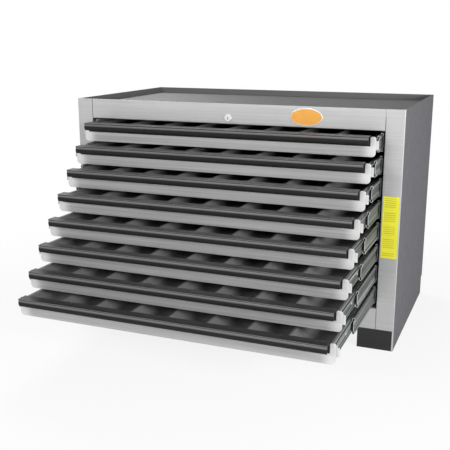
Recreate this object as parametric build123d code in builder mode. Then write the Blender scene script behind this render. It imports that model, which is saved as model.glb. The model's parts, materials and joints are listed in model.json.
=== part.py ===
from build123d import *
import os
from math import cos, radians, sin

os.makedirs("parts", exist_ok=True)

# Case: overall sizes, sheet and folds
cabinet_width = 914.0
cabinet_depth = 516.0
case_sheet = 1.5
stile_width = 47.0
top_rail_height = 53.0
bottom_rail_height = 56.0
frame_return = 28.0
edge_return = 4.0
frame_bend = 2.0
sheet_corner = 1.0
foot_height = 55.5
foot_width = 93.5
foot_leg_width = 3.6
foot_rear_setback = 16.0
pan_flange = 20.0

# Recessed top
tray_recess = 17.0
tray_sheet = 1.2
rim_width = 3.0

# Drawer stack
drawer_count = 8
front_height = 48.2
front_gap = 8.1
top_gap = 8.0
bottom_gap = 5.2
front_side_gap = 10.0
first_extension = 57.5
extension_step = 47.1

# Drawer shell
drawer_sheet = 1.2
front_sheet = 1.5
front_corner_radius = 10.0
front_edge_round = 0.5
front_lip_depth = 10.0
ear_width = 13.0
ear_rise = 3.0
ear_outer_round = 5.0
ear_inner_round = 2.5
pan_height = 32.2
rim_below_ear = 7.3
pan_bend = 2.5
hem_width = 3.4
hem_depth = 6.0
hem_bend = 1.6
rear_space = 61.0

# Pull along the top of each front
pull_reach = 25.4
pull_height = 19.2
pull_over_ear = 2.7
pull_wall = 2.0
pull_end_gap = 0.3
pull_bead = 1.5
pull_lip_bulge = 2.6
pull_back_drop = 6.0
pull_clip_gap = 0.3
pull_clip_height = 9.0

# Fluted tray lying in each drawer
trough_count = 8
insert_over_rim = 2.5
insert_clearance = 0.4
insert_front_gap = 0.6
insert_wall = 2.5
divider_width = 5.0
trough_floor = 1.7

# Ball-bearing slides
slide_space = 12.7
slide_inset = 4.8
slide_sheet = 1.1
slide_below_ear = 20.2
slide_setback = 8.0
slide_tab_setback = 4.0
slide_overhang = 2.0
outer_member_height = 45.7
outer_member_depth = 6.1
outer_member_lip = 2.35
outer_member_bend = 2.2
outer_lip_bend = 1.25
middle_member_height = 40.0
middle_member_gap = 0.4
middle_member_depth = 6.8
middle_member_lip = 6.1
middle_member_bend = 3.2
middle_web_height = 22.0
middle_web_step = 2.6
middle_step_rise = 3.0
middle_step_bend = 1.3
middle_shorter = 57.0
middle_travel_share = 0.6
inner_member_height = 26.4
inner_member_overlap = 0.6
inner_member_bend = 1.6
tab_height = 22.0
tab_stile_gap = 3.4
rivet_radius = 3.6
rivet_head = 1.2
rivet_first = 30.0
rivet_second = 110.0
rivet_from_rear = 40.0
upright_width = 25.0
upright_bend = 3.0
upright_behind_frame = 2.0
upright_from_slide_end = 10.0

# Lock, its rod and the bar that holds the drawers shut
lock_below_top = 37.4
lock_head_radius = 9.9
lock_head_depth = 2.5
lock_body_radius = 8.2
lock_body_length = 26.0
lock_hole_gap = 0.2
lock_plug_radius = 6.5
lock_plug_gap = 0.06
lock_edge_round = 0.8
lock_nut_radius = 13.0
lock_nut_depth = 3.0
keyhole_width = 1.8
keyhole_height = 7.5
keyhole_depth = 14.0
rod_radius = 3.5
crank_radius = 6.364
crank_width = 9.0
crank_sheet = 3.0
crank_start = 225.0
crank_pin_radius = 2.0
pin_side_gap = 0.3
pin_gap = 0.45
bar_width = 20.0
bar_sheet = 3.0
bar_gap = 0.5
bar_above_pin = 14.0
bar_below_finger = 5.0
finger_width = 12.0
finger_sheet = 3.0
finger_gap = 1.0
finger_from_pan = 9.0
catch_below_ear = 13.5
catch_width = 24.0
catch_reach = 20.0
catch_sheet = 1.5
catch_lip = 10.0
catch_flange = 5.0
catch_gap = 1.5
guide_height = 12.0
guide_foot = 14.0
guide_sheet = 1.5
guide_below_finger = 2.8
guide_bend = 2.4
guide_foot_bend = 0.6

# Blank name plate
badge_width = 84.5
badge_height = 45.0
badge_sheet = 2.0
badge_from_centre = 211.5
badge_above_rail = 26.3
badge_edge_round = 0.9
badge_rim = 2.6
badge_field_depth = 0.5

# Ruled sticker low on the right stile
sticker_width = 40.0
sticker_height = 159.0
sticker_from_edge = 3.0
sticker_low = 248.5
sticker_sheet = 0.3
sticker_corner = 2.0

# Places worked out from the sizes above
half_width = cabinet_width / 2
side_inner = half_width - case_sheet
opening_half = half_width - stile_width
front_half = opening_half - front_side_gap
mount_half = opening_half - slide_inset
pan_half = mount_half - slide_space
drawer_pitch = front_height + front_gap
opening_bottom = foot_height + bottom_rail_height
opening_top = opening_bottom + bottom_gap + drawer_count * drawer_pitch - front_gap + top_gap
cabinet_height = opening_top + top_rail_height
extensions = [first_extension + extension_step * i for i in range(drawer_count)]
front_y = (extensions[-1] + pull_reach - cabinet_depth) / 2
back_y = front_y + cabinet_depth
back_inner = back_y - case_sheet
pan_length = cabinet_depth - rear_space
slide_length = pan_length + slide_overhang
middle_length = slide_length - middle_shorter
inner_member_reach = slide_space - slide_sheet - middle_member_gap - middle_member_depth
inner_member_depth = inner_member_reach + inner_member_overlap
tab_reach = slide_space + slide_inset - tab_stile_gap
ear_tops = [opening_top - top_gap - drawer_pitch * i for i in range(drawer_count)]
tray_floor = cabinet_height - tray_recess
tray_under = tray_floor - tray_sheet
pan_back_closed = front_y + pan_length
lock_z = cabinet_height - lock_below_top
pin_x = crank_radius * cos(radians(crank_start))
pin_z = lock_z + crank_radius * sin(radians(crank_start))
bar_lift = 2 * (lock_z - pin_z)
bar_back = back_inner - bar_gap
bar_front = bar_back - bar_sheet
finger_drop = bar_lift + finger_gap
finger_low = [top - catch_below_ear - catch_lip - finger_drop - finger_sheet for top in ear_tops]


def facing_front(y):
    """Plane across the cabinet: sketch x is X and sketch y is Z; -Y is its positive side."""
    return Plane((0, y, 0), x_dir=(1, 0, 0), z_dir=(0, -1, 0))


def facing_side(x):
    """Plane along the cabinet: sketch x is Y and sketch y is Z; +X is its positive side."""
    return Plane((x, 0, 0), x_dir=(0, 1, 0), z_dir=(1, 0, 0))


def folded_sheet(plane, outline, bends, sheet):
    """Section of a folded sheet: its outer face follows the outline, its body is to the left."""
    points = [Vector(*point) for point in outline]
    runs = [(end - start).normalized() for start, end in zip(points, points[1:])]
    lefts = [Vector(-run.Y, run.X) * sheet for run in runs]
    inner = [points[0] + lefts[0]]
    inner_bends = []
    for corner, before, after, bend in zip(points[1:], lefts, lefts[1:], bends):
        inner.append(corner + (before + after) * (sheet**2 / (sheet**2 + before.dot(after))))
        inner_bends.append(bend - sheet if before.cross(after).Z > 0 else bend + sheet)
    inner.append(points[-1] + lefts[-1])
    with BuildSketch(plane) as section:
        with BuildLine():
            FilletPolyline(*points, radius=bends)
            FilletPolyline(*inner, radius=inner_bends)
            Line(points[0], inner[0])
            Line(points[-1], inner[-1])
        make_face()
    return section.sketch


def block(low, high, mode=Mode.ADD):
    """Plain box between two corners, put into the sub-part being built."""
    size = [b - a for a, b in zip(low, high)]
    with Locations(low):
        Box(*size, align=(Align.MIN, Align.MIN, Align.MIN), mode=mode)


# Side sheets, from the floor to the rim, cut away at the back below the floor sheet
with BuildPart() as right_side:
    block((side_inner, front_y + edge_return, 0), (half_width, back_y, cabinet_height))
    block(
        (side_inner, back_y - foot_rear_setback, 0),
        (half_width, back_y, foot_height - case_sheet),
        mode=Mode.SUBTRACT,
    )
with BuildPart() as left_side:
    mirror(right_side.part, about=Plane.YZ)
right_side.part.label = "right_side"
export_step(right_side.part, "parts/right_side.step")
left_side.part.label = "left_side"
export_step(left_side.part, "parts/left_side.step")

# Back sheet between the sides
with BuildPart() as back_panel:
    block((-side_inner, back_inner, foot_height - case_sheet), (side_inner, back_y, cabinet_height))
back_panel.part.label = "back_panel"
export_step(back_panel.part, "parts/back_panel.step")

# Recessed top with a doubled rim all round
with BuildPart() as top_tray:
    tray_front = front_y + case_sheet
    block((-side_inner, tray_front, tray_under), (side_inner, back_inner, cabinet_height))
    fillet(top_tray.edges().filter_by(Axis.Z), radius=sheet_corner)
    block(
        (rim_width - side_inner, tray_front + rim_width, tray_floor),
        (side_inner - rim_width, back_inner - rim_width, cabinet_height),
        mode=Mode.SUBTRACT,
    )
top_tray.part.label = "top_tray"
export_step(top_tray.part, "parts/top_tray.step")

# Floor sheet with a flange turned up against the back
with BuildPart() as bottom_pan:
    pan_low = foot_height - case_sheet
    pan_outline = [(front_y + case_sheet, pan_low), (back_inner, pan_low), (back_inner, pan_low + pan_flange)]
    extrude(
        folded_sheet(facing_side(-side_inner), pan_outline, [frame_bend], case_sheet),
        amount=2 * side_inner,
    )
    fillet(bottom_pan.edges().filter_by(Axis.Z).group_by(Axis.Y)[0], radius=sheet_corner)
bottom_pan.part.label = "bottom_pan"
export_step(bottom_pan.part, "parts/bottom_pan.step")

# Stiles: folded posts whose narrow outer leg runs on down to the floor
with BuildPart() as right_stile:
    stile_edge = (half_width, front_y + edge_return)
    post_outline = [
        (opening_half, front_y + frame_return),
        (opening_half, front_y),
        (half_width, front_y),
        stile_edge,
    ]
    extrude(
        folded_sheet(Plane.XY.offset(foot_height), post_outline, [frame_bend] * 2, case_sheet),
        amount=tray_under - foot_height,
    )
    extrude(
        folded_sheet(Plane.XY.offset(tray_under), post_outline[1:], [frame_bend], case_sheet),
        amount=cabinet_height - tray_under,
    )
    leg_outline = [(half_width - foot_leg_width, front_y), (half_width, front_y), stile_edge]
    extrude(folded_sheet(Plane.XY, leg_outline, [frame_bend], case_sheet), amount=foot_height)
with BuildPart() as left_stile:
    mirror(right_stile.part, about=Plane.YZ)
right_stile.part.label = "right_stile"
export_step(right_stile.part, "parts/right_stile.step")
left_stile.part.label = "left_stile"
export_step(left_stile.part, "parts/left_stile.step")

# Top rail between the stiles, with the hole for the lock
with BuildPart() as top_rail:
    rail_outline = [(front_y, cabinet_height), (front_y, opening_top), (front_y + frame_return, opening_top)]
    extrude(
        folded_sheet(facing_side(-opening_half), rail_outline, [frame_bend], case_sheet),
        amount=2 * opening_half,
    )
    with BuildSketch(facing_front(front_y)):
        with Locations((0, lock_z)):
            Circle(lock_body_radius + lock_hole_gap)
    extrude(amount=-case_sheet, mode=Mode.SUBTRACT)
top_rail.part.label = "top_rail"
export_step(top_rail.part, "parts/top_rail.step")

# Bottom rail between the stiles
with BuildPart() as bottom_rail:
    rail_outline = [(front_y + frame_return, opening_bottom), (front_y, opening_bottom), (front_y, foot_height)]
    extrude(
        folded_sheet(facing_side(-opening_half), rail_outline, [frame_bend], case_sheet),
        amount=2 * opening_half,
    )
bottom_rail.part.label = "bottom_rail"
export_step(bottom_rail.part, "parts/bottom_rail.step")

# Feet: folded channels from front to back under each side, open at the top
with BuildPart() as right_foot:
    foot_top = foot_height - case_sheet
    foot_back = back_y - foot_rear_setback
    block((half_width - foot_width, front_y + case_sheet, 0), (side_inner, foot_back, foot_top))
    fillet(right_foot.edges().filter_by(Axis.Z), radius=sheet_corner)
    block(
        (half_width - foot_width + case_sheet, front_y + 2 * case_sheet, case_sheet),
        (side_inner - case_sheet, foot_back - case_sheet, foot_top),
        mode=Mode.SUBTRACT,
    )
with BuildPart() as left_foot:
    mirror(right_foot.part, about=Plane.YZ)
right_foot.part.label = "right_foot"
export_step(right_foot.part, "parts/right_foot.step")
left_foot.part.label = "left_foot"
export_step(left_foot.part, "parts/left_foot.step")

# Uprights that carry the slides, two on each side behind the stiles
with BuildPart() as slide_uprights:
    front_post = front_y + frame_return + upright_behind_frame
    rear_post = front_y + slide_setback + slide_length - upright_from_slide_end - upright_width
    for post_y in (front_post, rear_post):
        post_outline = [
            (side_inner, post_y + upright_width),
            (mount_half, post_y + upright_width),
            (mount_half, post_y),
            (side_inner, post_y),
        ]
        extrude(
            folded_sheet(Plane.XY.offset(foot_height), post_outline, [upright_bend] * 2, case_sheet),
            amount=tray_under - foot_height,
        )
    mirror(about=Plane.YZ)
slide_uprights.part.label = "slide_uprights"
export_step(slide_uprights.part, "parts/slide_uprights.step")


def outer_member_section(y, centre):
    """Section of the slide member that is fixed to the uprights, right-hand side."""
    lip_x = mount_half - outer_member_depth
    half = outer_member_height / 2
    outline = [
        (lip_x, centre - half + outer_member_lip),
        (lip_x, centre - half),
        (mount_half, centre - half),
        (mount_half, centre + half),
        (lip_x, centre + half),
        (lip_x, centre + half - outer_member_lip),
    ]
    bends = [outer_lip_bend, outer_member_bend, outer_member_bend, outer_lip_bend]
    return folded_sheet(facing_front(y), outline, bends, slide_sheet)


def middle_member_section(y, centre):
    """Section of the travelling slide member, right-hand side, with its web stepped in."""
    back_x = mount_half - slide_sheet - middle_member_gap
    lip_x = back_x - middle_member_depth
    web_x = back_x - middle_web_step
    half = middle_member_height / 2
    web_half = middle_web_height / 2
    step_half = web_half + middle_step_rise
    outline = [
        (lip_x, centre - half + middle_member_lip),
        (lip_x, centre - half),
        (back_x, centre - half),
        (back_x, centre - step_half),
        (web_x, centre - web_half),
        (web_x, centre + web_half),
        (back_x, centre + step_half),
        (back_x, centre + half),
        (lip_x, centre + half),
        (lip_x, centre + half - middle_member_lip),
    ]
    hook = [middle_member_bend] * 2
    step = [middle_step_bend] * 2
    return folded_sheet(facing_front(y), outline, hook + step + step + hook, slide_sheet)


def inner_member_section(y, centre):
    """Section of the slide member that is riveted to the drawer, right-hand side."""
    half = inner_member_height / 2
    outline = [
        (pan_half + inner_member_depth, centre + half),
        (pan_half, centre + half),
        (pan_half, centre - half),
        (pan_half + inner_member_depth, centre - half),
    ]
    return folded_sheet(facing_front(y), outline, [inner_member_bend] * 2, slide_sheet)


# Slide members fixed in the cabinet, one pair for each drawer
with BuildPart() as cabinet_slide_members:
    for ear_top in ear_tops:
        extrude(
            outer_member_section(front_y + slide_setback, ear_top - slide_below_ear),
            amount=-slide_length,
        )
    mirror(about=Plane.YZ)
cabinet_slide_members.part.label = "cabinet_slide_members"
export_step(cabinet_slide_members.part, "parts/cabinet_slide_members.step")

# Lock housing with its nut behind the rail
with BuildPart() as lock_housing:
    with BuildSketch(facing_front(front_y)):
        with Locations((0, lock_z)):
            Circle(lock_head_radius)
    extrude(amount=lock_head_depth)
    fillet(lock_housing.faces().sort_by(Axis.Y)[0].edges(), radius=lock_edge_round)
    with BuildSketch(facing_front(front_y)):
        with Locations((0, lock_z)):
            Circle(lock_body_radius)
    extrude(amount=-lock_body_length)
    with BuildSketch(facing_front(front_y + case_sheet)):
        with Locations((0, lock_z)):
            RegularPolygon(radius=lock_nut_radius, side_count=6)
            Circle(lock_body_radius + lock_hole_gap, mode=Mode.SUBTRACT)
    extrude(amount=-lock_nut_depth)
    with BuildSketch(facing_front(front_y - lock_head_depth)):
        with Locations((0, lock_z)):
            Circle(lock_plug_radius + lock_plug_gap)
    extrude(amount=-lock_head_depth - lock_body_length, mode=Mode.SUBTRACT)
lock_housing.part.label = "lock_housing"
export_step(lock_housing.part, "parts/lock_housing.step")

# Turning plug with its keyhole
with BuildPart() as lock_plug:
    with BuildSketch(facing_front(front_y - lock_head_depth)):
        with Locations((0, lock_z)):
            Circle(lock_plug_radius)
    extrude(amount=-lock_head_depth - lock_body_length)
    with BuildSketch(facing_front(front_y - lock_head_depth)):
        with Locations((0, lock_z)):
            RectangleRounded(keyhole_width, keyhole_height, keyhole_width / 3)
    extrude(amount=-keyhole_depth, mode=Mode.SUBTRACT)
lock_plug.part.label = "lock_plug"
export_step(lock_plug.part, "parts/lock_plug.step")

# Rod from the plug to the back, ending in a crank whose pin lifts the bar
with BuildPart() as lock_rod:
    rod_start = front_y + lock_body_length
    crank_y = bar_front - pin_gap - crank_sheet
    with BuildSketch(facing_front(rod_start)):
        with Locations((0, lock_z)):
            Circle(rod_radius)
    extrude(amount=rod_start - crank_y)
    with BuildSketch(facing_front(crank_y)):
        with Locations((pin_x / 2, (lock_z + pin_z) / 2)):
            SlotCenterToCenter(crank_radius, crank_width, rotation=crank_start)
    extrude(amount=-crank_sheet)
    with BuildSketch(facing_front(crank_y + crank_sheet)):
        with Locations((pin_x, pin_z)):
            Circle(crank_pin_radius)
    extrude(amount=-pin_gap - bar_sheet)
lock_rod.part.label = "lock_rod"
export_step(lock_rod.part, "parts/lock_rod.step")

# Lifting bar with one hooked finger behind each drawer
with BuildPart() as lock_bar:
    slot_low = pin_z - crank_pin_radius - pin_gap
    slot_left = -crank_radius - crank_pin_radius - pin_side_gap
    slot_right = pin_x + crank_pin_radius + pin_side_gap
    block(
        (-bar_width / 2, bar_front, finger_low[-1] - bar_below_finger),
        (bar_width / 2, bar_back, pin_z + bar_above_pin),
    )
    block(
        (slot_left, bar_front, slot_low),
        (slot_right, bar_back, slot_low + 2 * (crank_pin_radius + pin_gap)),
        mode=Mode.SUBTRACT,
    )
    finger_y = pan_back_closed + finger_from_pan
    for low in finger_low:
        block((-finger_width / 2, finger_y, low), (finger_width / 2, bar_front, low + finger_sheet))
        block(
            (-finger_width / 2, finger_y, low),
            (finger_width / 2, finger_y + finger_sheet, low + finger_sheet + finger_drop - catch_gap),
        )
lock_bar.part.label = "lock_bar"
export_step(lock_bar.part, "parts/lock_bar.step")

# Straps on the back sheet that guide the bar
with BuildPart() as lock_bar_guides:
    guide_half = bar_width / 2 + bar_gap + guide_sheet
    guide_y = bar_front - bar_gap - guide_sheet
    for index in (2, drawer_count - 2):
        foot_y = back_inner - guide_sheet
        strap_outline = [
            (-guide_half - guide_foot, foot_y),
            (-guide_half, foot_y),
            (-guide_half, guide_y),
            (guide_half, guide_y),
            (guide_half, foot_y),
            (guide_half + guide_foot, foot_y),
        ]
        strap_bends = [guide_foot_bend, guide_bend, guide_bend, guide_foot_bend]
        strap_top = finger_low[index - 1] - guide_below_finger
        strap_plane = Plane.XY.offset(strap_top - guide_height)
        extrude(folded_sheet(strap_plane, strap_outline, strap_bends, guide_sheet), amount=guide_height)
lock_bar_guides.part.label = "lock_bar_guides"
export_step(lock_bar_guides.part, "parts/lock_bar_guides.step")

# Blank oval plate on the top rail
with BuildPart() as badge_plate:
    with BuildSketch(facing_front(front_y)):
        with Locations((badge_from_centre, opening_top + badge_above_rail)):
            Ellipse(badge_width / 2, badge_height / 2)
    extrude(amount=badge_sheet)
    fillet(badge_plate.faces().sort_by(Axis.Y)[0].edges(), radius=badge_edge_round)
    with BuildSketch(facing_front(front_y - badge_sheet)):
        with Locations((badge_from_centre, opening_top + badge_above_rail)):
            Ellipse(badge_width / 2 - badge_rim, badge_height / 2 - badge_rim)
    extrude(amount=-badge_field_depth, mode=Mode.SUBTRACT)
badge_plate.part.label = "badge_plate"
export_step(badge_plate.part, "parts/badge_plate.step")

# Thin sticker on the right stile
with BuildPart() as label_sticker:
    with BuildSketch(facing_front(front_y)):
        with Locations((half_width - sticker_from_edge, sticker_low)):
            RectangleRounded(
                sticker_width,
                sticker_height,
                sticker_corner,
                align=(Align.MAX, Align.MIN),
            )
    extrude(amount=sticker_sheet)
label_sticker.part.label = "label_sticker"
export_step(label_sticker.part, "parts/label_sticker.step")

# Drawers, each standing out as far as the photograph shows it
for number, (ear_top, extension) in enumerate(zip(ear_tops, extensions), start=1):
    face_y = front_y - extension
    front_bottom = ear_top - front_height
    pan_rim = ear_top - rim_below_ear
    pan_bottom = pan_rim - pan_height
    pan_back = face_y + pan_length
    slide_centre = ear_top - slide_below_ear
    pull_half = front_half - ear_width - pull_end_gap

    # Shell: eared front, folded pan and the catch on its back
    with BuildPart() as drawer_pan:
        with BuildSketch(facing_front(face_y)) as front_outline:
            with Locations((0, front_bottom)):
                Rectangle(2 * front_half, front_height, align=(Align.CENTER, Align.MIN))
            with Locations((0, ear_top)):
                notch_width = 2 * (front_half - ear_width)
                Rectangle(notch_width, ear_rise, align=(Align.CENTER, Align.MAX), mode=Mode.SUBTRACT)
            fillet(front_outline.vertices().group_by(Axis.Y)[0], radius=front_corner_radius)
            ear_corners = front_outline.vertices().group_by(Axis.Y)[-1].sort_by(Axis.X)
            fillet([ear_corners[0], ear_corners[-1]], radius=ear_outer_round)
            ear_corners = front_outline.vertices().group_by(Axis.Y)[-1].sort_by(Axis.X)
            fillet([ear_corners[1], ear_corners[-2]], radius=ear_inner_round)
        extrude(amount=-front_sheet)
        fillet(drawer_pan.edges().group_by(Axis.Y)[0], radius=front_edge_round)
        lip_half = front_half - front_corner_radius - case_sheet
        block(
            (-lip_half, face_y + front_sheet, front_bottom),
            (lip_half, face_y + front_lip_depth, front_bottom + drawer_sheet),
        )
        hem_x = pan_half - hem_width
        pan_outline = [
            (-hem_x, pan_rim - hem_depth),
            (-hem_x, pan_rim),
            (-pan_half, pan_rim),
            (-pan_half, pan_bottom),
            (pan_half, pan_bottom),
            (pan_half, pan_rim),
            (hem_x, pan_rim),
            (hem_x, pan_rim - hem_depth),
        ]
        pan_bends = [hem_bend, hem_bend, pan_bend, pan_bend, hem_bend, hem_bend]
        extrude(
            folded_sheet(facing_front(face_y + front_sheet), pan_outline, pan_bends, drawer_sheet),
            amount=front_sheet - pan_length,
        )
        block(
            (drawer_sheet - pan_half, pan_back - drawer_sheet, pan_bottom),
            (pan_half - drawer_sheet, pan_back, pan_rim),
        )
        catch_z = ear_top - catch_below_ear
        block(
            (-catch_width / 2, pan_back, catch_z - catch_sheet),
            (catch_width / 2, pan_back + catch_reach, catch_z),
        )
        block(
            (-catch_width / 2, pan_back, catch_z),
            (catch_width / 2, pan_back + catch_sheet, catch_z + catch_flange),
        )
        block(
            (-catch_width / 2, pan_back + catch_reach - catch_sheet, catch_z - catch_lip),
            (catch_width / 2, pan_back + catch_reach, catch_z),
        )
    drawer_pan.part.label = f"drawer_{number}_pan"
    export_step(drawer_pan.part, f"parts/drawer_{number}_pan.step")

    # Full-width pull clipped over the top edge of the front
    with BuildPart() as drawer_pull:
        pull_top = ear_top + pull_over_ear
        pull_bottom = pull_top - pull_height
        clip_y = face_y + front_sheet + pull_clip_gap
        nose_y = face_y - pull_reach
        with BuildSketch(facing_side(-pull_half)) as pull_section:
            with Locations((face_y, pull_top)):
                Rectangle(pull_wall, pull_height + pull_back_drop, align=(Align.MAX, Align.MAX))
            with Locations((clip_y + pull_wall, pull_top)):
                ledge_depth = clip_y + pull_wall - nose_y - pull_bead
                Rectangle(ledge_depth, pull_wall, align=(Align.MAX, Align.MAX))
            with Locations((clip_y, pull_top)):
                Rectangle(pull_wall, pull_clip_height, align=(Align.MIN, Align.MAX))
            with Locations((nose_y + pull_bead, pull_top - pull_bead)):
                Circle(pull_bead)
            with BuildLine():
                lip_faces = [
                    ThreePointArc(
                        (lip_y + pull_lip_bulge, pull_top - pull_bead),
                        (lip_y, pull_bottom + pull_height / 2),
                        (lip_y + pull_lip_bulge, pull_bottom),
                    )
                    for lip_y in (nose_y, nose_y + pull_wall)
                ]
                Line(lip_faces[0] @ 0, lip_faces[1] @ 0)
                Line(lip_faces[0] @ 1, lip_faces[1] @ 1)
            make_face()
        extrude(amount=2 * pull_half)
    drawer_pull.part.label = f"drawer_{number}_pull"
    export_step(drawer_pull.part, f"parts/drawer_{number}_pull.step")

    # Fluted tray lying on the floor of the pan
    with BuildPart() as drawer_insert:
        insert_half = pan_half - hem_width - insert_clearance
        insert_base = pan_bottom + drawer_sheet
        insert_top = pan_rim + insert_over_rim
        insert_height = insert_top - insert_base
        insert_front = face_y + front_sheet + pull_clip_gap + pull_wall + insert_front_gap
        insert_length = pan_back - drawer_sheet - insert_clearance - insert_front
        divider_total = divider_width * (trough_count - 1)
        trough_chord = (2 * insert_half - divider_total - 2 * insert_wall) / trough_count
        trough_depth = insert_height - trough_floor
        trough_radius = (trough_chord**2 / 4 + trough_depth**2) / (2 * trough_depth)
        trough_axis = insert_base + trough_floor + trough_radius
        with BuildSketch(facing_front(insert_front)):
            with Locations((0, insert_base)):
                Rectangle(2 * insert_half, insert_height, align=(Align.CENTER, Align.MIN))
            with Locations((0, trough_axis)):
                with GridLocations(trough_chord + divider_width, 0, trough_count, 1):
                    Circle(trough_radius, mode=Mode.SUBTRACT)
            with BuildSketch(mode=Mode.SUBTRACT):
                with Locations((0, insert_base)):
                    Rectangle(
                        2 * (insert_half - insert_wall),
                        insert_height - insert_wall,
                        align=(Align.CENTER, Align.MIN),
                    )
                with Locations((0, trough_axis)):
                    with GridLocations(trough_chord + divider_width, 0, trough_count, 1):
                        Circle(trough_radius + insert_wall, mode=Mode.SUBTRACT)
        extrude(amount=-insert_length)
        for wall_y in (insert_front, insert_front + insert_length - insert_wall):
            block(
                (-insert_half, wall_y, insert_base),
                (insert_half, wall_y + insert_wall, insert_top),
            )
    drawer_insert.part.label = f"drawer_{number}_insert"
    export_step(drawer_insert.part, f"parts/drawer_{number}_insert.step")

    # Slide members riveted to the drawer, each with a tab that pushes the middle member home
    with BuildPart() as drawer_slide_members:
        member_y = face_y + slide_tab_setback
        extrude(inner_member_section(member_y, slide_centre), amount=-slide_length)
        block(
            (pan_half, member_y, slide_centre - tab_height / 2),
            (pan_half + tab_reach, member_y + slide_sheet, slide_centre + tab_height / 2),
        )
        for rivet_y in (rivet_first, rivet_second, slide_length - rivet_from_rear):
            with BuildSketch(facing_side(pan_half + slide_sheet)):
                with Locations((member_y + rivet_y, slide_centre)):
                    Circle(rivet_radius)
            extrude(amount=rivet_head)
        mirror(about=Plane.YZ)
    drawer_slide_members.part.label = f"drawer_{number}_slide_members"
    export_step(drawer_slide_members.part, f"parts/drawer_{number}_slide_members.step")

    # Middle slide members, part of the way out
    with BuildPart() as middle_slide_members:
        middle_y = front_y + slide_setback - middle_travel_share * extension
        extrude(middle_member_section(middle_y, slide_centre), amount=-middle_length)
        mirror(about=Plane.YZ)
    middle_slide_members.part.label = f"drawer_{number}_middle_members"
    export_step(middle_slide_members.part, f"parts/drawer_{number}_middle_members.step")
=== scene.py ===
import json
from math import cos, pi, radians, sin

import bmesh
import bpy
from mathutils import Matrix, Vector


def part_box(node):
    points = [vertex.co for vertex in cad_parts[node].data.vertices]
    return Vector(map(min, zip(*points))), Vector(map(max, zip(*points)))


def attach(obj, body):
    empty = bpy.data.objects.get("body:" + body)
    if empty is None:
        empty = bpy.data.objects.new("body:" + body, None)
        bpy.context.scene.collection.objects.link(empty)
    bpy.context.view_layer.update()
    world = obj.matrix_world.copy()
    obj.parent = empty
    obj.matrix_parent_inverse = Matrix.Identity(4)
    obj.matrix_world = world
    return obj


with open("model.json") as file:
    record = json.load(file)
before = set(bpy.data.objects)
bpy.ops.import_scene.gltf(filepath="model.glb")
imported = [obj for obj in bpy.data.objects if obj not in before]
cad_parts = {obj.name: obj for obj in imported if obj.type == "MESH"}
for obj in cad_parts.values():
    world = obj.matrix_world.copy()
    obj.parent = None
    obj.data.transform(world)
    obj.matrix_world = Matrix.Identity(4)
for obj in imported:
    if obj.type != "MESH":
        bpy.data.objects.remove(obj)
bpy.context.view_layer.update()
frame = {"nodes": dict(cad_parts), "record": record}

nodes = frame["nodes"]
scene = bpy.context.scene

DRAWERS = 8
SIDES = (-1, 1)
MM = 0.001

# Places read from the frame
front_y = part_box("top_rail")[0].y
opening_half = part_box("top_rail")[1].x

# Sockets of the colour mix node
MIX_FACTOR, MIX_FIRST, MIX_SECOND, MIX_RESULT = 0, 6, 7, 2

# Values between which nearly all noise lies
NOISE_LOW, NOISE_HIGH = 0.3, 0.7

WHITE = (1.0, 1.0, 1.0, 1.0)


def rgb(value):
    """Linear colour from screen values of 0 to 255."""
    steps = [v / 255 for v in value]
    return tuple(s / 12.92 if s <= 0.04045 else ((s + 0.055) / 1.055) ** 2.4 for s in steps)


def shade(color, factor):
    """Colour made lighter or darker, with its alpha."""
    return tuple(min(1.0, c * factor) for c in color[:3]) + (1.0,)


def add(tree, kind, sockets=None, **settings):
    """New shader node with its settings, its values and its links."""
    node = tree.nodes.new("ShaderNode" + kind)
    for key, value in settings.items():
        setattr(node, key, value)
    for key, value in (sockets or {}).items():
        feed(tree, node, key, value)
    return node


def feed(tree, node, key, value):
    """Gives one socket of a node a link or a value."""
    if isinstance(value, bpy.types.NodeSocket):
        tree.links.new(value, node.inputs[key])
    else:
        node.inputs[key].default_value = value


def calc(tree, operation, first, second=0.0):
    """Result of one sum on two values or sockets."""
    return add(tree, "Math", {0: first, 1: second}, operation=operation).outputs[0]


def dot(tree, first, second):
    """Dot product of two vectors or sockets."""
    return add(tree, "VectorMath", {0: first, 1: second}, operation="DOT_PRODUCT").outputs["Value"]


def split(tree, vector, axis):
    """One axis of a vector socket."""
    return add(tree, "SeparateXYZ", {0: vector}).outputs[axis]


def remap(tree, value, low, high, new_low=0.0, new_high=1.0, smooth=False):
    """Value brought from one range into another, held inside it."""
    kind = "SMOOTHSTEP" if smooth else "LINEAR"
    sockets = {"Value": value, "From Min": low, "From Max": high, "To Min": new_low, "To Max": new_high}
    return add(tree, "MapRange", sockets, interpolation_type=kind).outputs[0]


def mix(tree, factor, first, second, blend="MIX"):
    """Colour between two colours or sockets."""
    node = tree.nodes.new("ShaderNodeMix")
    node.data_type = "RGBA"
    node.blend_type = blend
    for key, value in ((MIX_FACTOR, factor), (MIX_FIRST, first), (MIX_SECOND, second)):
        feed(tree, node, key, value)
    return node.outputs[MIX_RESULT]


def noise(tree, place, scale, detail=2.0, stretch=(1, 1, 1)):
    """Noise on the piece's own coordinates, drawn out along an axis where asked."""
    mapped = add(tree, "Mapping", {"Vector": place, "Scale": stretch}).outputs[0]
    return add(tree, "TexNoise", {"Vector": mapped, "Scale": scale, "Detail": detail}).outputs[0]


def start(name):
    """New material with its shader and its own coordinates."""
    made = bpy.data.materials.new(name)
    made.use_nodes = True
    tree = made.node_tree
    shader = tree.nodes["Principled BSDF"]
    place = add(tree, "TexCoord").outputs["Object"]
    return made, tree, shader, place


def own_normal(tree):
    """Direction that a face looks in, in the piece's own coordinates."""
    return add(tree, "TexCoord").outputs["Normal"]


# Dot product of the rounded and the flat normal at which an edge shows in full
EDGE_TURN = 0.93


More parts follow.
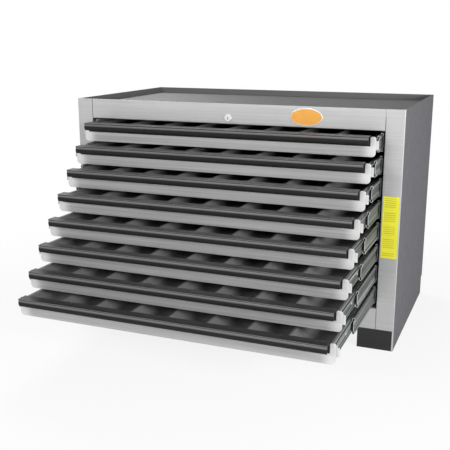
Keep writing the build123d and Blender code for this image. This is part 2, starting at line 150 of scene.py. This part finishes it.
def edge_mask(tree, radius):
    """1 at the edges of a sheet and 0 on its flats."""
    rounded = add(tree, "Bevel", {"Radius": radius}, samples=4).outputs[0]
    flat = add(tree, "NewGeometry").outputs["Normal"]
    return remap(tree, dot(tree, rounded, flat), 1.0, EDGE_TURN)


def relief(tree, shader, height, strength, distance):
    """Fine bump on a shader."""
    bump = add(tree, "Bump", {"Strength": strength, "Distance": distance, "Height": height})
    tree.links.new(bump.outputs[0], shader.inputs["Normal"])


def gloss(tree, shader, value, smoothest, roughest):
    """Roughness that follows a noise."""
    spread = remap(tree, value, NOISE_LOW, NOISE_HIGH, smoothest, roughest)
    tree.links.new(spread, shader.inputs["Roughness"])


# Baked paint: noise scales per metre, lengths in metres, tones as shares of the colour
PAINT_CLOUD = 7.0
PAINT_STREAKS = (2.2, 2.2, 260.0)
STREAK_DARK, STREAK_CLEAR = 0.35, 0.65
PAINT_WEAR = 160.0
LEAST_WEAR = 0.4
PAINT_SMEAR = 40.0
PAINT_PEEL = 1500.0
# Edge lightening: wear on every paint, and also a painted highlight where it is strong, on the fronts and the tray
# rim
PAINT_EDGE = 1.6 * MM
EDGE_WEAR_AND_HIGHLIGHT_TONE = 1.9
# Painted highlight that lightens the ends and ears of the drawer fronts
END_HIGHLIGHT_INSIDE = 25.0 * MM
END_HIGHLIGHT_OUTSIDE = 4.0 * MM
END_HIGHLIGHT_SHARE = 0.85
END_HIGHLIGHT_TONE = 1.6
# Painted shade in the gaps between the stiles and the rails, deeper on the left
SEAM_OUTER = 1.3 * MM
SEAM_INNER = 0.7 * MM
SEAM_SHADE_TONE = 0.12


def paint(name, color, roughness, mottle, metallic=0.0, streak=0.0, peel=0.12, edge_wear_and_highlight=0.15, specular=0.5,
          seam_shades=(), end_highlight_from=None):
    """Baked paint on sheet steel: mottling, orange peel, streaks, edges lighter from wear and a painted highlight, a
    painted highlight at the ends and painted shade in the seams.
    """
    made, tree, shader, place = start(name)
    tone = mix(tree, noise(tree, place, PAINT_CLOUD, detail=4.0), shade(color, 1 - mottle), shade(color, 1 + mottle))
    if streak:
        line = remap(tree, noise(tree, place, 1.0, 5.0, PAINT_STREAKS), STREAK_DARK, STREAK_CLEAR)
        tone = mix(tree, line, mix(tree, 1.0, tone, shade(WHITE, 1 - streak), "MULTIPLY"), tone)
    # Lighter edges: partly wear, partly a painted highlight
    wear = remap(tree, noise(tree, place, PAINT_WEAR), NOISE_LOW, NOISE_HIGH, LEAST_WEAR, 1.0)
    edge = calc(tree, "MULTIPLY", edge_mask(tree, PAINT_EDGE), wear)
    tone = mix(tree, calc(tree, "MULTIPLY", edge, edge_wear_and_highlight), tone, shade(color, EDGE_WEAR_AND_HIGHLIGHT_TONE))
    across = split(tree, place, "X")
    # Painted highlight towards the ends of each front
    if end_highlight_from:
        end_highlight = remap(tree, calc(tree, "ABSOLUTE", across), end_highlight_from - END_HIGHLIGHT_INSIDE, end_highlight_from + END_HIGHLIGHT_OUTSIDE,
                    0.0, END_HIGHLIGHT_SHARE, smooth=True)
        tone = mix(tree, end_highlight, tone, shade(color, END_HIGHLIGHT_TONE))
    # Painted shade in a seam gap
    for seam_x, depth in seam_shades:
        off = calc(tree, "ABSOLUTE", calc(tree, "SUBTRACT", across, seam_x))
        tone = mix(tree, remap(tree, off, SEAM_OUTER, SEAM_INNER, 0.0, depth), tone, shade(color, SEAM_SHADE_TONE))
    tree.links.new(tone, shader.inputs["Base Color"])
    gloss(tree, shader, noise(tree, place, PAINT_SMEAR, detail=3.0), roughness - 0.04, roughness + 0.05)
    relief(tree, shader, noise(tree, place, PAINT_PEEL, detail=1.0), peel, 0.2 * MM)
    shader.inputs["Metallic"].default_value = metallic
    shader.inputs["Specular IOR Level"].default_value = specular
    return made


# Satin black: a painted highlight band lies where a face looks up and forward
SATIN_CLOUD = 11.0
SATIN_DARK, SATIN_LIGHT = 0.85, 1.2
SATIN_SCUFFS = (14.0, 90.0, 90.0)
SCUFF_FROM, SCUFF_FULL = 0.62, 0.8
SCUFF_SHARE = 0.35
SCUFF_TONE = 2.4
UP_AND_FRONT = (0.0, -0.7071, 0.7071)
HIGHLIGHT_BAND_FROM, HIGHLIGHT_BAND_FULL = 0.74, 0.92
HIGHLIGHT_BAND_TONE = 9.0


def satin(name, color, roughness, texture, bump_strength, specular, highlight_band=0.0):
    """Satin black plastic or coated extrusion with a fine texture, faint scuffs and a painted highlight along the
    upper front edge.
    """
    made, tree, shader, place = start(name)
    cloud = noise(tree, place, SATIN_CLOUD, detail=4.0)
    tone = mix(tree, cloud, shade(color, SATIN_DARK), shade(color, SATIN_LIGHT))
    scuff = noise(tree, place, 1.0, 6.0, SATIN_SCUFFS)
    tone = mix(tree, remap(tree, scuff, SCUFF_FROM, SCUFF_FULL, 0.0, SCUFF_SHARE), tone, shade(color, SCUFF_TONE))
    # Painted highlight on faces that look up and forward
    if highlight_band:
        facing = dot(tree, own_normal(tree), UP_AND_FRONT)
        lit = remap(tree, facing, HIGHLIGHT_BAND_FROM, HIGHLIGHT_BAND_FULL, 0.0, highlight_band, smooth=True)
        tone = mix(tree, lit, tone, shade(color, HIGHLIGHT_BAND_TONE))
    tree.links.new(tone, shader.inputs["Base Color"])
    gloss(tree, shader, cloud, roughness - 0.05, roughness + 0.06)
    relief(tree, shader, noise(tree, place, texture), bump_strength, 0.3 * MM)
    shader.inputs["Specular IOR Level"].default_value = specular
    return made


# Plated steel: drawing lines run along Y, bands along Y are partly painted shade and highlight, and faces that look
# to the front get a painted highlight
SPANGLE = 190.0
SPANGLE_SHARE = 0.25
SPANGLE_TONE = 1.3
PLATING_CLOUD = 22.0
PLATING_DARK, PLATING_LIGHT = 0.84, 1.14
LINE_FROM, LINE_FULL, LINE_TONE = 0.35, 0.7, 0.5
# Dark and light bands along Y: drawing marks that also serve as painted shade and highlight of ridges
DARK_FROM, DARK_FULL, BAND_SHADE_TONE = 0.46, 0.56, 0.3
LIGHT_FROM, LIGHT_FULL, BAND_HIGHLIGHT_TONE = 0.4, 0.3, 2.0
# Painted highlight on faces that look to the front
FRONT_HIGHLIGHT_FROM, FRONT_HIGHLIGHT_FULL = -0.8, -0.95
DRAWN_LINES = (900.0, 9.0, 900.0)
DRAWN_AND_SHADED_BANDS = (230.0, 1.0, 230.0)
# Painted highlight on edges
PLATED_EDGE = 1.2 * MM
PLATED_HIGHLIGHT_TONE = 3.4
FRONT_HIGHLIGHT_GREY = (0.6, 0.61, 0.6, 1.0)
# Inside the keyhole: dark partly from oil and partly as painted shade
KEYHOLE_LIP = 0.3 * MM
KEYHOLE_DARK = 0.7 * MM
KEYHOLE_OIL_AND_SHADE_TONE = 0.02


def plated(name, color, roughness, metallic, lines_and_shaded_bands, edge_highlight=0.0, specular=0.5, face_y=None):
    """Plated steel: cloudy plating, drawing lines along the piece, bands that are partly painted shade and
    highlight, painted highlights on edges and on front faces, and a keyhole darkened inside by oil and painted
    shade.
    """
    made, tree, shader, place = start(name)
    spangle = add(tree, "TexVoronoi", {"Vector": place, "Scale": SPANGLE}).outputs["Color"]
    spangle = add(tree, "SeparateColor", {0: spangle}).outputs[0]
    cloud = noise(tree, place, PLATING_CLOUD, detail=4.0)
    tone = mix(tree, cloud, shade(color, PLATING_DARK), shade(color, PLATING_LIGHT))
    tone = mix(tree, remap(tree, spangle, 0.0, 1.0, 0.0, SPANGLE_SHARE), tone, shade(color, SPANGLE_TONE))
    lines = noise(tree, place, 1.0, 3.0, DRAWN_LINES)
    tone = mix(tree, remap(tree, lines, LINE_FROM, LINE_FULL, 0.0, lines_and_shaded_bands), tone, shade(color, LINE_TONE))
    # Bands that are partly painted shade and highlight
    shaded_bands = noise(tree, place, 1.0, 2.0, DRAWN_AND_SHADED_BANDS)
    tone = mix(tree, remap(tree, shaded_bands, DARK_FROM, DARK_FULL, 0.0, lines_and_shaded_bands), tone, shade(color, BAND_SHADE_TONE))
    tone = mix(tree, remap(tree, shaded_bands, LIGHT_FROM, LIGHT_FULL, 0.0, lines_and_shaded_bands), tone, shade(color, BAND_HIGHLIGHT_TONE))
    # Painted highlights on edges and on faces that look to the front
    if edge_highlight:
        edge = calc(tree, "MULTIPLY", edge_mask(tree, PLATED_EDGE), edge_highlight)
        tone = mix(tree, edge, tone, shade(color, PLATED_HIGHLIGHT_TONE))
        facing = split(tree, own_normal(tree), "Y")
        front_highlight = calc(tree, "MULTIPLY", remap(tree, facing, FRONT_HIGHLIGHT_FROM, FRONT_HIGHLIGHT_FULL), edge_highlight)
        tone = mix(tree, front_highlight, tone, FRONT_HIGHLIGHT_GREY)
    # Keyhole darkened inside, partly oil and partly painted shade
    if face_y is not None:
        depth = split(tree, place, "Y")
        inside = remap(tree, depth, face_y + KEYHOLE_LIP, face_y + KEYHOLE_DARK)
        tone = mix(tree, inside, tone, shade(color, KEYHOLE_OIL_AND_SHADE_TONE))
    tree.links.new(tone, shader.inputs["Base Color"])
    gloss(tree, shader, cloud, roughness - 0.06, roughness + 0.08)
    relief(tree, shader, lines, 0.1, 0.1 * MM)
    shader.inputs["Metallic"].default_value = metallic
    shader.inputs["Specular IOR Level"].default_value = specular
    return made


# Blank oval plate: the field ends where the sum of squares passes 1
BADGE_RIM = 2.6 * MM
FIELD_FADE = 1.04
ENAMEL_DARK = (0.7, 0.3, 0.045, 1.0)
ENAMEL_LIGHT = (0.8, 0.4, 0.075, 1.0)
RIM_DARK = (0.62, 0.6, 0.56, 1.0)
RIM_LIGHT = (0.8, 0.78, 0.74, 1.0)
RIM_METALLIC = 0.35


def badge_material():
    """Blank oval plate: amber enamel inside a raised bright rim."""
    made, tree, shader, place = start("badge_enamel")
    low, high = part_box("badge_plate")
    squares = []
    for axis, index in (("X", 0), ("Z", 2)):
        middle, half = (low[index] + high[index]) / 2, (high[index] - low[index]) / 2 - BADGE_RIM
        share = calc(tree, "DIVIDE", calc(tree, "SUBTRACT", split(tree, place, axis), middle), half)
        squares.append(calc(tree, "MULTIPLY", share, share))
    field = remap(tree, calc(tree, "ADD", squares[0], squares[1]), FIELD_FADE, 1.0)
    swirl = noise(tree, place, 55.0, detail=4.0)
    enamel = mix(tree, swirl, ENAMEL_DARK, ENAMEL_LIGHT)
    metal = mix(tree, swirl, RIM_DARK, RIM_LIGHT)
    tree.links.new(mix(tree, field, metal, enamel), shader.inputs["Base Color"])
    tree.links.new(remap(tree, field, 0.0, 1.0, RIM_METALLIC, 0.0), shader.inputs["Metallic"])
    gloss(tree, shader, swirl, 0.16, 0.26)
    relief(tree, shader, noise(tree, place, 900.0), 0.06, 0.2 * MM)
    return made


# Ruled sticker
RULE_PITCH = 5.2 * MM
RULE_OUTER = 1.1 * MM
RULE_INNER = 0.7 * MM
RULE_SHARE = 0.8
BLOCK_PITCH = 34.0 * MM
BLOCK_GAP = 9.0 * MM
BLOCK_FADE = 0.5 * MM
SIDE_MARGIN = 4.0 * MM
TOP_MARGIN = 6.0 * MM
BOTTOM_MARGIN = 5.0 * MM
RAGGED_END = 7.0 * MM
RAGGED_STEPS = (0.0, 0.0, 190.0)
YELLOW_DARK = (0.66, 0.63, 0.025, 1.0)
YELLOW_LIGHT = (0.74, 0.71, 0.038, 1.0)
RULE_COLOR = (0.36, 0.33, 0.02, 1.0)


def label_material():
    """Yellow sticker ruled with blocks of thin lines and left blank."""
    made, tree, shader, place = start("label_ruled")
    low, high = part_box("label_sticker")
    across, up = split(tree, place, "X"), split(tree, place, "Z")
    down = calc(tree, "SUBTRACT", high.z - TOP_MARGIN, up)
    line = remap(tree, calc(tree, "PINGPONG", down, RULE_PITCH / 2), RULE_OUTER, RULE_INNER)
    block = calc(tree, "MODULO", down, BLOCK_PITCH)
    inside = remap(tree, block, BLOCK_PITCH - BLOCK_GAP + BLOCK_FADE, BLOCK_PITCH - BLOCK_GAP)
    ragged = noise(tree, place, 1.0, 1.0, RAGGED_STEPS)
    right_end = calc(tree, "SUBTRACT", high.x - SIDE_MARGIN, calc(tree, "MULTIPLY", ragged, RAGGED_END))
    within = calc(tree, "MULTIPLY", calc(tree, "GREATER_THAN", across, low.x + SIDE_MARGIN),
                  calc(tree, "LESS_THAN", across, right_end))
    within = calc(tree, "MULTIPLY", within, calc(tree, "GREATER_THAN", up, low.z + BOTTOM_MARGIN))
    rule = calc(tree, "MULTIPLY", calc(tree, "MULTIPLY", line, inside), within)
    cloud = noise(tree, place, 60.0, detail=3.0)
    yellow = mix(tree, cloud, YELLOW_DARK, YELLOW_LIGHT)
    tree.links.new(mix(tree, calc(tree, "MULTIPLY", rule, RULE_SHARE), yellow, RULE_COLOR),
                   shader.inputs["Base Color"])
    gloss(tree, shader, cloud, 0.42, 0.52)
    relief(tree, shader, noise(tree, place, 700.0), 0.08, 0.2 * MM)
    return made


# Colours of the finishes
CASE_GREY = rgb((91, 90, 94))
FRAME_GREY = rgb((178, 178, 179))
# Lighter, neutral copy of the case grey for the top tray: its extra lightness is painted light on the upward tray
TRAY_GREY_LIT = rgb((103, 103, 104))
FOOT_BLACK = rgb((44, 44, 45))
FRONT_GREY = rgb((171, 171, 171))
PULL_BLACK = (0.018, 0.018, 0.0184)
INSERT_BLACK = (0.145, 0.145, 0.1455)
ZINC_GREY = (0.16, 0.172, 0.168)
UPRIGHT_GREY = (0.19, 0.202, 0.198)
CHROME = {"color": (0.66, 0.66, 0.66), "roughness": 0.24, "metallic": 0.6, "lines_and_shaded_bands": 0.06}

tray_paint_lit = paint("tray_paint_lit", TRAY_GREY_LIT, 0.6, mottle=0.035, peel=0.16, edge_wear_and_highlight=0.3, specular=0.08)
pull_black = satin("pull_black", PULL_BLACK, 0.3, 2600.0, 0.05, specular=0.06, highlight_band=0.95)
insert_black = satin("insert_black", INSERT_BLACK, 0.5, 1700.0, 0.18, specular=0.1)
upright_zinc = plated("upright_zinc", UPRIGHT_GREY, 0.55, 0.0, 0.12, edge_highlight=0.85, specular=0.1)
lock_chrome = plated("lock_chrome", **CHROME)
plug_chrome = plated("plug_chrome", **CHROME, face_y=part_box("lock_plug")[0].y)
finishes = {
    "case_paint": paint("case_paint", CASE_GREY, 0.6, mottle=0.035, peel=0.16, edge_wear_and_highlight=0.1, specular=0.08),
    "frame_paint": paint("frame_paint", FRAME_GREY, 0.36, metallic=0.4, mottle=0.02, streak=0.11, peel=0.05,
                         seam_shades=((-opening_half, 0.9), (opening_half, 0.35))),
    "foot_paint": paint("foot_paint", FOOT_BLACK, 0.55, mottle=0.06, edge_wear_and_highlight=0.1, specular=0.2),
    "front_paint": paint("front_paint", FRONT_GREY, 0.36, metallic=0.35, mottle=0.03, streak=0.22, peel=0.04,
                         edge_wear_and_highlight=0.8, end_highlight_from=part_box("drawer_1_pull")[1].x),
    "pull_black": pull_black,
    "insert_black": insert_black,
    "zinc": plated("zinc", ZINC_GREY, 0.55, 0.0, 0.85, edge_highlight=0.85, specular=0.1),
    "lock_chrome": lock_chrome,
    "plate_finish": badge_material(),
    "label_yellow": label_material(),
}


def dress(piece, finish):
    """Gives a piece one material."""
    piece.data.materials.clear()
    piece.data.materials.append(finish)


for subpart in frame["record"]["subparts"]:
    node, slot_name = nodes[subpart["node"]], subpart["material_slot"]
    low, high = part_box(subpart["node"])
    stands = high.z - low.z > high.y - low.y
    dress(node, upright_zinc if slot_name == "zinc" and stands else finishes[slot_name])
# The top tray gets a lighter copy of the case paint as painted light
dress(nodes["top_tray"], tray_paint_lit)
dress(nodes["lock_plug"], plug_chrome)

SHARP_ANGLE = radians(35)


def smooth_piece(name, built, finish, body):
    """Turns a bmesh into a piece that rides on a body."""
    mesh = bpy.data.meshes.new(name)
    bmesh.ops.recalc_face_normals(built, faces=built.faces)
    built.to_mesh(mesh)
    built.free()
    piece = bpy.data.objects.new(name, mesh)
    scene.collection.objects.link(piece)
    mesh.shade_smooth()
    mesh.set_sharp_from_angle(angle=SHARP_ANGLE)
    dress(piece, finish)
    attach(piece, body)


def band(built, first, second):
    """Faces between two closed rings of vertices."""
    count = len(first)
    for k in range(count):
        after = (k + 1) % count
        built.faces.new((first[k], first[after], second[after], second[k]))


def prism(built, section, start_y, end_y):
    """Closed bar along Y from a section of (x, z) points."""
    front, back = ([built.verts.new((x, y, z)) for x, z in section] for y in (start_y, end_y))
    band(built, front, back)
    built.faces.new(front)
    built.faces.new(back)


# Fine ridges along the tops of the dividers in each fluted tray
DIVIDERS = 7
DIVIDER_WIDTH = 5.0 * MM
INSERT_WALL = 2.5 * MM
RIDGE_OFFSETS = (-1.7 * MM, 0.0, 1.7 * MM)
RIDGE_HALF = 0.45 * MM
RIDGE_HEIGHT = 0.7 * MM
RIDGE_SUNK = 0.2 * MM
RIDGE_FOOT = 0.4 * MM
RIDGE_END_GAP = 1.0 * MM
RIDGE_STEPS = 4
for n in range(1, DRAWERS + 1):
    low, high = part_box(f"drawer_{n}_insert")
    trough = (high.x - low.x - DIVIDERS * DIVIDER_WIDTH - 2 * INSERT_WALL) / (DIVIDERS + 1)
    built = bmesh.new()
    for k in range(DIVIDERS):
        centre = low.x + INSERT_WALL + (k + 1) * trough + (k + 0.5) * DIVIDER_WIDTH
        for offset in RIDGE_OFFSETS:
            x = centre + offset
            turns = [step * pi / RIDGE_STEPS for step in range(RIDGE_STEPS + 1)]
            arc = [(x + RIDGE_HALF * cos(turn), high.z - RIDGE_SUNK + RIDGE_HEIGHT * sin(turn)) for turn in turns]
            foot = [(x - RIDGE_HALF, high.z - RIDGE_FOOT), (x + RIDGE_HALF, high.z - RIDGE_FOOT)]
            prism(built, arc + foot, low.y + INSERT_WALL + RIDGE_END_GAP, high.y - INSERT_WALL - RIDGE_END_GAP)
    smooth_piece(f"drawer_{n}_divider_ridges", built, insert_black, f"drawer_{n}")

# Balls in the race of each middle slide member, a plastic bumper at its front, and domed rivet heads
BALLS = 9
BALL_RADIUS = 2.2 * MM
BALL_PITCH = 11.0 * MM
FIRST_BALL = 14.0 * MM
BALL_INSET = 3.4 * MM
BALL_RISE = 16.2 * MM

# Bumper section in millimetres, from the outer side of the middle member and from its mid height
BUMPER = [(-3.95, -11.3), (-3.95, 11.3), (-1.5, 14.4), (-1.5, 18.5), (-5.3, 18.5), (-5.3, 13.9), (-5.9, 11.2),
          (-8.1, 10.6), (-8.1, -10.6), (-5.9, -11.2), (-5.3, -13.9), (-5.3, -18.5), (-1.5, -18.5), (-1.5, -14.4)]
BUMPER_FRONT = 0.5 * MM
BUMPER_BACK = 10.0 * MM
RIVETS_FROM_FRONT = (30.0 * MM, 110.0 * MM)
RIVET_FROM_REAR = 40.0 * MM
RIVET_INSET = 8.9 * MM

# Radius and rise in millimetres of the rings of a rivet's dome
DOME = ((3.3, -0.1), (2.9, 0.2), (2.1, 0.42), (1.1, 0.52))
DOME_POINTS = 20


def rivet_dome(built, side, head_x, rivet_y, rivet_z):
    """Low dome on a slide member, facing its side."""
    rings = []
    for radius, rise in DOME:
        turns = [2 * pi * k / DOME_POINTS for k in range(DOME_POINTS)]
        rings.append([built.verts.new((side * (head_x + rise * MM), rivet_y + radius * MM * cos(turn),
                                       rivet_z + radius * MM * sin(turn))) for turn in turns])
    for outer, inner in zip(rings, rings[1:]):
        band(built, outer, inner)
    built.faces.new(rings[-1])
    built.faces.new(rings[0])


for n in range(1, DRAWERS + 1):
    middle_low, middle_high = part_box(f"drawer_{n}_middle_members")
    inner_low, inner_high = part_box(f"drawer_{n}_slide_members")
    centre_z = (middle_low.z + middle_high.z) / 2
    balls, bumpers, domes = bmesh.new(), bmesh.new(), bmesh.new()
    rivets = [inner_low.y + gap for gap in RIVETS_FROM_FRONT] + [inner_high.y - RIVET_FROM_REAR]
    for side in SIDES:
        for level in SIDES:
            for k in range(BALLS):
                made = bmesh.ops.create_icosphere(balls, subdivisions=2, radius=BALL_RADIUS)
                place = (side * (middle_high.x - BALL_INSET), middle_low.y + FIRST_BALL + BALL_PITCH * k,
                         centre_z + level * BALL_RISE)
                bmesh.ops.translate(balls, verts=made["verts"], vec=place)
        section = [(side * (middle_high.x + x * MM), centre_z + z * MM) for x, z in BUMPER]
        prism(bumpers, section, middle_low.y + BUMPER_FRONT, middle_low.y + BUMPER_BACK)
        for rivet_y in rivets:
            rivet_dome(domes, side, middle_high.x - RIVET_INSET, rivet_y, centre_z)
    smooth_piece(f"drawer_{n}_slide_balls", balls, lock_chrome, f"slide_{n}")
    smooth_piece(f"drawer_{n}_slide_bumpers", bumpers, pull_black, f"slide_{n}")
    smooth_piece(f"drawer_{n}_rivet_domes", domes, lock_chrome, f"drawer_{n}")

# Camera at the photograph's viewing angle
camera_data = bpy.data.cameras.new("camera")
camera_data.lens = 60.30
camera_data.sensor_width = 36.0
camera = bpy.data.objects.new("camera", camera_data)
camera.location = (0.7362, front_y - 1.8364, 0.7916)
camera.rotation_euler = (radians(75.893), 0.0, radians(22.075))
scene.collection.objects.link(camera)
scene.camera = camera


def background_share(tree):
    """1 for rays that see the background, straight or in metal and glass, and 0 for rays that light the object."""
    rays = add(tree, "LightPath").outputs
    share = calc(tree, "MAXIMUM", rays["Is Camera Ray"], rays["Is Glossy Ray"])
    return calc(tree, "MAXIMUM", share, rays["Is Transmission Ray"])


# Floor that turns to plain white with distance and keeps the shadow near the cabinet
FLOOR_RADIUS = 30.0
FLOOR_POINTS = 96
FLOOR_DARK = (0.86, 0.86, 0.86, 1.0)
FLOOR_LIGHT = (0.9, 0.9, 0.9, 1.0)
WHITE_FROM, WHITE_TO = 0.5, 1.6
NEAR_WHITENESS = 0.84
floor_mesh = bmesh.new()
bmesh.ops.create_circle(floor_mesh, cap_ends=True, segments=FLOOR_POINTS, radius=FLOOR_RADIUS)
floor_data = bpy.data.meshes.new("floor")
floor_mesh.to_mesh(floor_data)
floor_mesh.free()
floor = bpy.data.objects.new("floor", floor_data)
scene.collection.objects.link(floor)
floor_finish, tree, shader, place = start("floor")
distance = add(tree, "VectorMath", {0: place}, operation="LENGTH").outputs["Value"]
whiteness = remap(tree, distance, WHITE_FROM, WHITE_TO, NEAR_WHITENESS, 1.0, smooth=True)
whiteness = calc(tree, "MULTIPLY", whiteness, background_share(tree))
shader.inputs["Roughness"].default_value = 0.8
speckle = noise(tree, place, 300.0)
tree.links.new(mix(tree, speckle, FLOOR_DARK, FLOOR_LIGHT), shader.inputs["Base Color"])
glow = add(tree, "Emission", {"Strength": 1.0})
blend = add(tree, "MixShader", {0: whiteness, 1: shader.outputs[0], 2: glow.outputs[0]})
tree.links.new(blend.outputs[0], tree.nodes["Material Output"].inputs[0])
dress(floor, floor_finish)

# World: even soft light, seen as plain white
AMBIENT = 0.23
world = bpy.data.worlds.new("world")
scene.world = world
world.use_nodes = True
tree = world.node_tree
soft = tree.nodes["Background"]
soft.inputs["Color"].default_value = WHITE
soft.inputs["Strength"].default_value = AMBIENT
white = add(tree, "Background", {"Color": WHITE, "Strength": 1.0})
blend = add(tree, "MixShader", {0: background_share(tree), 1: soft.outputs[0], 2: white.outputs[0]})
tree.links.new(blend.outputs[0], tree.nodes["World Output"].inputs[0])


def softbox(name, place, target, width, height, watts):
    """Rectangular lamp aimed at a point."""
    data = bpy.data.lights.new(name, "AREA")
    data.shape = "RECTANGLE"
    data.size = width
    data.size_y = height
    data.energy = watts
    lamp = bpy.data.objects.new(name, data)
    lamp.location = place
    lamp.rotation_euler = (Vector(target) - Vector(place)).to_track_quat("-Z", "Y").to_euler()
    scene.collection.objects.link(lamp)


softbox("key", place=(2.1, front_y - 1.4, 0.9), target=(0.1, -0.3, 0.3), width=0.8, height=0.5, watts=56.0)
softbox("front", place=(-1.0, front_y - 3.0, 1.45), target=(-0.1, 0.0, 0.4), width=2.0, height=0.5, watts=46.0)
softbox("back", place=(-1.7, 1.9, 1.9), target=(0.2, 0.2, 0.62), width=1.4, height=0.6, watts=46.0)

scene.view_settings.view_transform = "Standard"
